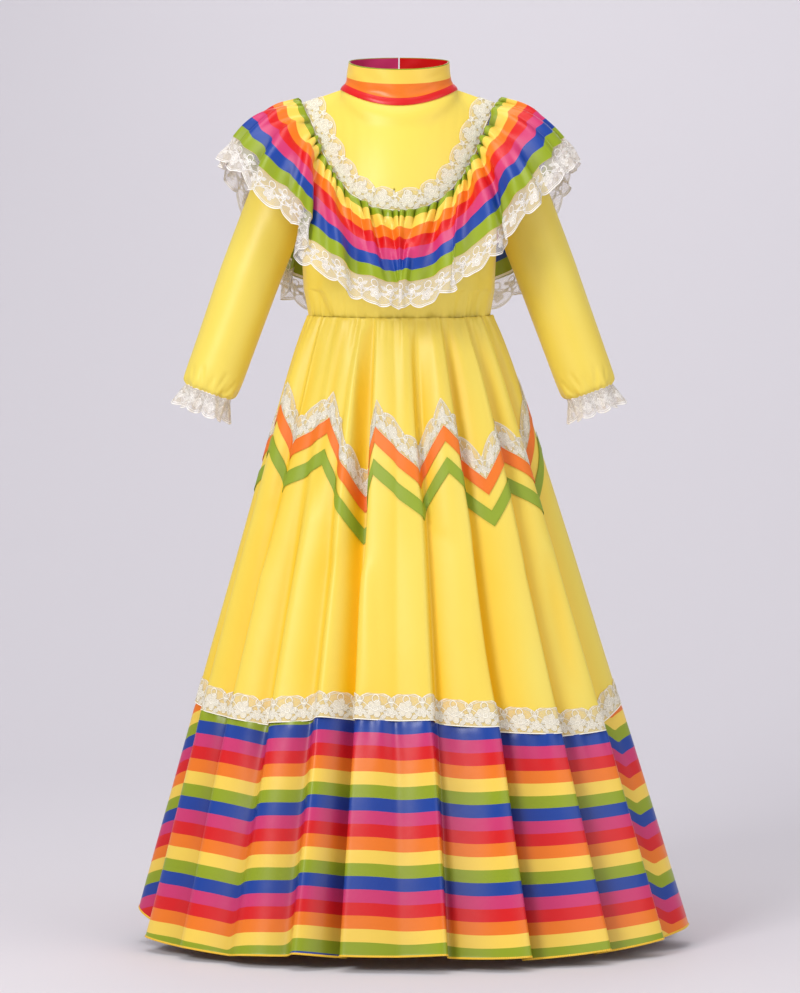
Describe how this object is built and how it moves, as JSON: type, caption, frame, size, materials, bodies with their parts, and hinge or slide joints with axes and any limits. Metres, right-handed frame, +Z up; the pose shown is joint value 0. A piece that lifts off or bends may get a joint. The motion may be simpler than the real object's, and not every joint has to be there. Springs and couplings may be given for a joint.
{
  "type": "girl's folk dance fiesta dress",
  "caption": "Long-sleeved yellow satin dress with rainbow-striped collar, shoulder ruffle and hem flounce, lace edgings and zigzag ribbons, hollow as worn.",
  "frame": {"origin": "midway between the shoulders, level with the sides of the neck seam", "axes": "+Z up, +X to the right as seen from the front (the wearer's left), the front faces -Y"},
  "size_m": [0.6622, 0.5089, 1.0559],
  "materials": {
    "satin_yellow": "yellow polyester satin",
    "satin_striped": "satin printed with straight rainbow stripes",
    "ribbon_orange": "satin ribbon",
    "ribbon_green": "satin ribbon",
    "lace": "cream floral lace with scalloped edges"
  },
  "bodies": {
    "root": {"bodice_front": "satin_yellow", "bodice_back_right": "satin_yellow", "bodice_back_left": "satin_yellow", "sleeve_right": "satin_yellow", "sleeve_left": "satin_yellow", "skirt_front": "satin_yellow", "skirt_back_right": "satin_yellow", "skirt_back_left": "satin_yellow", "collar": "satin_striped", "ruffle_front": "satin_striped", "ruffle_back_right": "satin_striped", "ruffle_back_left": "satin_striped", "flounce_front": "satin_striped", "flounce_back": "satin_striped", "ribbon_orange": "ribbon_orange", "ribbon_green": "ribbon_green", "yoke_lace": "lace", "cuff_lace_right_front": "lace", "cuff_lace_right_back": "lace", "cuff_lace_left_front": "lace", "cuff_lace_left_back": "lace", "ruffle_lace_front": "lace", "ruffle_lace_back_right": "lace", "ruffle_lace_back_left": "lace", "zigzag_lace": "lace", "hem_lace": "lace"}
  },
  "joints": []
}
